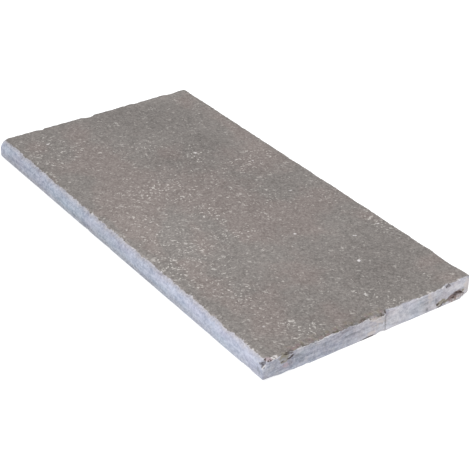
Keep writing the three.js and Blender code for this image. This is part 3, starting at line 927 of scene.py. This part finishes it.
# in a share of the cells of a cell pattern, a spot of its own size, its outline broken up by
# pushing the pattern about
def fleckMask(finish, layer, number):
    push = finish.node("ShaderNodeVectorMath", operation="MULTIPLY_ADD")
    finish.put(push.inputs[0], finish.noise(3.0, 3, 0.6, seed=10 + number, output="Color"))
    push.inputs[1].default_value = (0.003,) * 3
    finish.put(push.inputs[2], finish.stretched((layer["stretch"], 1, 1), layer["turn"], number + 1))
    cells = finish.node("ShaderNodeTexVoronoi", voronoi_dimensions="3D", feature="F1")
    finish.put(cells.inputs["Vector"], push.outputs[0])
    finish.put(cells.inputs["Scale"], 1 / (layer["cell"] * millimetre))
    parts = finish.node("ShaderNodeSeparateColor")
    finish.put(parts.inputs[0], cells.outputs["Color"])
    chosen = finish.step(parts.outputs["Red"], 0.98 - layer["share"], 1.0 - layer["share"])
    radius = finish.scaled(parts.outputs["Green"], 0.6 * layer["radius"], 0.7 * layer["radius"])
    spot = finish.fall(cells.outputs["Distance"], finish.times(radius, 0.6), radius)
    brightness = finish.scaled(parts.outputs["Blue"], 0.6, 0.6)
    return finish.times(chosen, spot, brightness, layer["strength"])


# thin curved slivers of shell: the middle line of one noise, where a second noise is high
def sliverMask(finish):
    wave = finish.noise(6.0, 2, 0.5, source=finish.stretched((1.6, 1, 1), 0.95), seed=41)
    line = finish.math("ABSOLUTE", finish.math("SUBTRACT", wave, 0.5))
    thin = finish.fall(line, 0.010, 0.030)
    return finish.times(thin, finish.blotches(0.54, 0.60, 5.0, 2, 0.5, seed=42), 0.6)


# walking face: brown grey that drifts between greenish and plum, fine grain, dark specks and flecks
def agedSkin(finish):
    drift = finish.plus(finish.attribute("plum"), finish.sway(24, 0.45, detail=4, rough=0.6))
    drift = finish.step(drift, 0.0, 1.1)
    cloud = finish.plus(finish.sway(40, 0.2, seed=4), finish.attribute("trodden"))
    cloud = finish.step(cloud, -1.6, 1.6)
    face = finish.mix(cloud, finish.between(drift, "faceDarkest"), finish.between(drift, "facePalest"))
    face = finish.layBlend(face, "faceMottle", finish.blotches(0.3, 0.7, 13, seed=12))
    grain = finish.blotches(0.34, 0.66, 3.0, rough=0.8, seed=2)
    face = finish.layBlend(face, "faceGrain", grain)
    face = finish.lay(face, "speck", finish.fall(finish.noise(2.4, 2, 0.5, seed=15), 0.31, 0.39))
    gather = finish.plus(finish.sway(14, 0.55, detail=4, rough=0.65, seed=9), finish.attribute("shelly"))
    gather = finish.step(gather, -0.3, 0.95, 0.1, 1.35)
    flecks = sliverMask(finish)
    for number, layer in enumerate(fleckLayers):
        flecks = finish.larger(flecks, fleckMask(finish, layer, number))
    return finish.lay(face, "fleck", flecks, gather), grain


# the ground colour of the nose, the ends and the back: blue grey or neutral grey, paler where its paleness,
# painted light included, is higher and pinker where it is rosier; duller and more neutral beside the skin,
# but for the right end
def bareGround(finish, edge):
    ofEnd = finish.attribute("endShare")
    besideSkin = finish.times(finish.step(edge, -10.5, 0.5), finish.math("SUBTRACT", 1.0, ofEnd), 0.85)
    pale = finish.plus(finish.attribute("palenessAndPaintedLight"), finish.sway(22, 0.16, seed=21))
    pale = finish.step(finish.scaled(besideSkin, -0.3, pale), -0.5, 1.3)
    hue = finish.plus(finish.attribute("rosiness"), finish.sway(30, 0.2, seed=23))
    hue = finish.plus(hue, finish.times(finish.sway(11, 0.5, seed=29), ofEnd))
    hue = finish.step(finish.scaled(besideSkin, 0.25, hue), -1.0, 1.0)
    blue, neutral = (
        finish.mix(pale, finish.between(hue, kind + "Darkest"), finish.between(hue, kind + "Palest"))
        for kind in ("blue", "neutral"))
    neutralShare = finish.plus(finish.attribute("neutrality"), finish.sway(12, 0.2, seed=30))
    return finish.mix(finish.larger(neutralShare, besideSkin), blue, neutral)


# bare stone: the ground colour, streaked along the bedding, darkened at the foot by painted shade and
# finely freckled; the right end has more of the streaks, and warm and cool patches
def bareStone(finish, edge):
    ofEnd = finish.attribute("endShare")
    side = bareGround(finish, edge)
    side = finish.lay(side, "warmPatch", finish.blotches(0.5, 0.6, 10, seed=26), ofEnd)
    side = finish.lay(side, "coolPatch", finish.blotches(0.5, 0.6, 13, seed=27), ofEnd)
    streak = finish.blotches(0.3, 0.7, 16, 4, 0.65, source=finish.stretched((4.5, 4.5, 0.625)))
    streaked = finish.scaled(ofEnd, strengths["streaksMoreOnEnd"], strengths["streaks"])
    side = finish.mix(streaked, side, finish.between(streak, "streaks"))
    # painted shade along the foot of the nose, broken into blotches
    side = finish.lay(side, "footShade", finish.attribute("paintedFootShade"), finish.blotches(0.3, 0.7, 9, seed=24))
    grain = finish.blotches(0.34, 0.66, 3.0, rough=0.8, seed=22)
    layers = finish.blotches(0.34, 0.66, 4, rough=0.7, source=finish.stretched((4, 4, 0.77)), seed=28)
    layered = finish.scaled(ofEnd, 0.1, 0.4)
    even = finish.math("SUBTRACT", 1.0, layered)
    grain = finish.plus(finish.times(grain, even), finish.times(layers, layered))
    return finish.layBlend(side, "freckles", grain)


# distance from where the skin really ends: a jagged line, more so in the grime and off the right end
def jaggedEdge(finish, grimy, offEnd):
    wobble = finish.plus(finish.sway(9, 0.55), finish.sway(3.0, 0.75, seed=31))
    wobble = finish.plus(wobble, finish.times(finish.sway(5, 0.9, seed=38), grimy))
    wobble = finish.plus(wobble, finish.times(finish.sway(7, 2.5, detail=4, rough=0.65, seed=39), offEnd))
    return finish.plus(finish.attribute("skinEdge"), wobble)


# the skin near its edge: worn thin in places along the nose, tinted and dark with grime, and dark
# in places just inside the edge
def skinNearEdge(finish, face, edge, grimy, offEnd):
    worn = finish.attribute("wornThin")
    duller = finish.math("SUBTRACT", offEnd, worn)
    thin = finish.blotches(0.44, 0.60, 3.5, rough=0.7, seed=40)
    face = finish.lay(face, "thinSkin", finish.fall(edge, 0.0, 5.0), thin, worn)
    tint, tinted = finish.blotches(0.46, 0.54, 9, 2, 0.5, seed=35), finish.blotches(0.45, 0.62, 6, seed=36)
    face = finish.layBlend(face, "grime", tint, tinted, grimy)
    reach = finish.scaled(finish.larger(grimy, finish.times(duller, 0.5)), 6.0, 3.0)
    inside = finish.times(finish.step(edge, 0.1, 0.8), finish.fall(edge, 1.5, reach))
    places = finish.blotches(0.42, 0.60, 6, seed=32)
    stronger = finish.scaled(finish.larger(grimy, finish.times(duller, 0.3)), 0.6, 0.4)
    speckled = finish.step(finish.noise(2.6, 3, 0.7, seed=34), 0.42, 0.56, 0.35, 1.0)
    return finish.lay(face, "darkEdge", inside, places, stronger, speckled)


# bare stone near the skin: a pale rim just outside it, partly worn stone and partly a painted highlight
# along the arris, crumbs of fresh stone along the arris of the nose, and the fresh colour of what has
# broken off
def rimAndCrumbs(finish, body, edge, grimy, offEnd):
    alongGrime = finish.times(grimy, finish.blotches(0.42, 0.54, 11, 2, 0.5, seed=37), 0.9)
    rimPlaces = finish.larger(finish.blotches(0.46, 0.60, 5, seed=33), alongGrime)
    rim = finish.times(finish.step(edge, -1.8, -0.7), finish.fall(edge, -0.1, 0.5), rimPlaces)
    weaker = finish.scaled(offEnd, -strengths["rimWearAndHighlightLessOffEnd"], 1.0)
    body = finish.lay(body, "rimWearAndHighlight", rim, weaker)
    alongArris = finish.times(finish.step(edge, -3.0, -1.0), finish.fall(edge, 1.0, 4.0))
    crumbs = finish.blotches(0.58, 0.66, 3.2, 2, 0.5, seed=43)
    body = finish.lay(body, "crumb", alongArris, crumbs, finish.attribute("wornThin"))
    return finish.lay(body, "fresh", finish.attribute("broken"))


# marks, their outlines frayed and their insides mottled along the bedding
def layMarks(finish, body):
    fray = finish.plus(finish.sway(5, 0.28, detail=4, seed=5), finish.sway(2.2, 0.12, detail=2, seed=51))
    layered = finish.noise(4.5, 3, 0.7, source=finish.stretched((2.5, 2.5, 0.71)), seed=52)
    for kind, (colour, strength, thinnest) in markKinds.items():
        mottling = finish.step(layered, 0.36, 0.60, thinnest, 1.0)
        cover = finish.step(finish.plus(finish.attribute(kind), fray), 0.25, 0.65)
        body = finish.mix(finish.times(cover, mottling, strength), body, shade(colour))
    return body


# relief too fine for the mesh
def fineBump(finish):
    swell = finish.times(finish.noise(7, 3, 0.6, seed=8), 0.65)
    bump = finish.node("ShaderNodeBump")
    finish.put(bump.inputs["Height"], finish.scaled(finish.noise(1.6, 4, 0.65, seed=6), 0.35, swell))
    bump.inputs["Strength"].default_value = 0.6
    bump.inputs["Distance"].default_value = 0.0007  # metres
    return bump.outputs[0]


# the whole finish: aged skin and bare stone on either side of the jagged edge, the rim and the
# crumbs beside it, the marks on top, and a roughness that follows the grain
def limestoneFinish():
    finish = Finish("aged_limestone")
    grimy = finish.attribute("grime")
    offEnd = finish.math("SUBTRACT", 1.0, finish.attribute("endShare"))
    edge = jaggedEdge(finish, grimy, offEnd)
    softness = finish.scaled(offEnd, 0.8, 0.3)
    onSkin = finish.step(edge, finish.times(softness, -1.0), softness)
    face, grain = agedSkin(finish)
    face = skinNearEdge(finish, face, edge, grimy, offEnd)
    body = finish.mix(onSkin, bareStone(finish, edge), face)
    body = layMarks(finish, rimAndCrumbs(finish, body, edge, grimy, offEnd))
    shader = finish.node("ShaderNodeBsdfPrincipled")
    finish.put(shader.inputs["Base Color"], body)
    finish.put(shader.inputs["Roughness"], finish.step(grain, 0.0, 1.0, 0.74, 0.9))
    finish.put(shader.inputs["Normal"], fineBump(finish))
    shader.inputs["Specular IOR Level"].default_value = 0.3
    output = finish.node("ShaderNodeOutputMaterial")
    finish.put(output.inputs["Surface"], shader.outputs[0])
    return finish.material


copingStone.data.materials.append(limestoneFinish())
print("finish made")

# floor, light and view; the softbox stands before the nose
studio = {
    "floorHalf": 6.0,  # metres
    "floorWhite": 0.5,
    "floorGlow": 0.62,  # the table is lit from below too, which softens the shadow at the foot
    "skyStrength": 1.16,
    "keyPower": 25.0,
    "keyPlace": (0.8, -1.4, 1.7),
    "keySize": 1.8,
}


# a large square that glows a little, as on a light table
def makeFloor():
    half = studio["floorHalf"]
    mesh = bpy.data.meshes.new("floor")
    rim = [(-half, -half, 0), (half, -half, 0), (half, half, 0), (-half, half, 0)]
    mesh.from_pydata(rim, [], [(0, 1, 2, 3)])
    floor = bpy.data.objects.new("floor", mesh)
    bpy.context.collection.objects.link(floor)
    material = bpy.data.materials.new("pale_floor")
    material.use_nodes = True
    shader = material.node_tree.nodes["Principled BSDF"]
    shader.inputs["Base Color"].default_value = (studio["floorWhite"],) * 3 + (1,)
    shader.inputs["Emission Color"].default_value = (1, 1, 1, 1)
    shader.inputs["Emission Strength"].default_value = studio["floorGlow"]
    shader.inputs["Roughness"].default_value = 0.9
    shader.inputs["Specular IOR Level"].default_value = 0.0
    mesh.materials.append(material)


# an even white sky and one square softbox that faces the stone
def makeLight():
    world = bpy.data.worlds.new("studio")
    bpy.context.scene.world = world
    world.use_nodes = True
    sky = world.node_tree.nodes["Background"]
    sky.inputs["Color"].default_value = (1, 1, 1, 1)
    sky.inputs["Strength"].default_value = studio["skyStrength"]
    lamp = bpy.data.lights.new("softbox", "AREA")
    lamp.shape = "SQUARE"
    lamp.size = studio["keySize"]
    lamp.energy = studio["keyPower"]
    key = bpy.data.objects.new("softbox", lamp)
    bpy.context.collection.objects.link(key)
    place = Matrix.Translation(studio["keyPlace"])
    aim = (-place.translation).to_track_quat("-Z", "Y").to_matrix().to_4x4()
    key.matrix_world = place @ aim


# the camera looks down at a point near the middle of the stone, leaning a little to one side
camera = {
    "lens": 101.64,
    "heading": 143.6,  # degrees from +X towards +Y
    "pitch": 31.47,
    "roll": 1.61,
    "target": (0.0406, -0.0011, 0.0),  # metres
    "distance": 1.6506,
}


# the view from its heading, pitch and distance, turned about its own line of sight by the roll
def makeCamera():
    heading, pitch, roll = (math.radians(camera[key]) for key in ("heading", "pitch", "roll"))
    level = np.array([math.cos(heading), math.sin(heading), 0.0])
    forward = math.cos(pitch) * level - np.array([0, 0, math.sin(pitch)])
    right = np.array([math.sin(heading), -math.cos(heading), 0.0])
    up = np.cross(right, forward)
    leanRight = math.cos(roll) * right + math.sin(roll) * up
    leanUp = -math.sin(roll) * right + math.cos(roll) * up
    place = np.array(camera["target"]) - forward * camera["distance"]
    data = bpy.data.cameras.new("camera")
    data.lens = camera["lens"]
    view = bpy.data.objects.new("camera", data)
    bpy.context.collection.objects.link(view)
    axes = Matrix([list(row) for row in np.stack([leanRight, leanUp, -forward], 1)])
    view.matrix_world = Matrix.Translation(place) @ axes.to_4x4()
    bpy.context.scene.camera = view


makeFloor()
makeLight()
makeCamera()
bpy.context.scene.view_settings.view_transform = "Standard"
print("floor, light and camera made")
